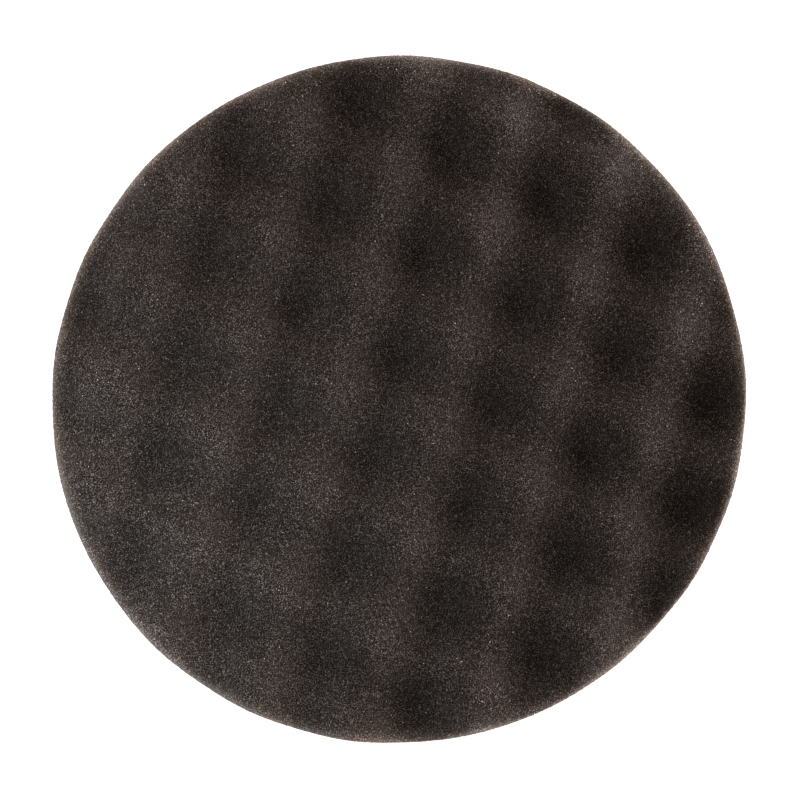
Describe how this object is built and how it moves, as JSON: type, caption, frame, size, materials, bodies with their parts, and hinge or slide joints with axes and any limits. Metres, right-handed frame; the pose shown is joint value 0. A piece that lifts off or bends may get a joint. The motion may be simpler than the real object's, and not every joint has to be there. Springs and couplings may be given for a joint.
{
  "type": "foam polishing pad",
  "caption": "Round black foam polishing pad with a waffle face and a flat hook-and-loop back, for a rotary or orbital polisher.",
  "frame": {"origin": "centre of the plane that the loop back rests on", "axes": "+Z through the pad's thickness, from the loop back to the waffle face; +X and +Y in the back plane, with a row of crests about 24 degrees from +X"},
  "size_m": [0.2032, 0.2032, 0.0317],
  "materials": {
    "foam": "matt open-cell polyurethane foam, warm charcoal black",
    "film": "melted hot-melt film, dull",
    "loop_cloth": "warp-knitted black nylon ground",
    "loop_pile": "raised black nylon loops, faint sheen"
  },
  "bodies": {
    "root": {"foam_disc": "foam", "bond_film": "film", "loop_ground_cloth": "loop_cloth", "loop_pile": "loop_pile"}
  },
  "joints": []
}
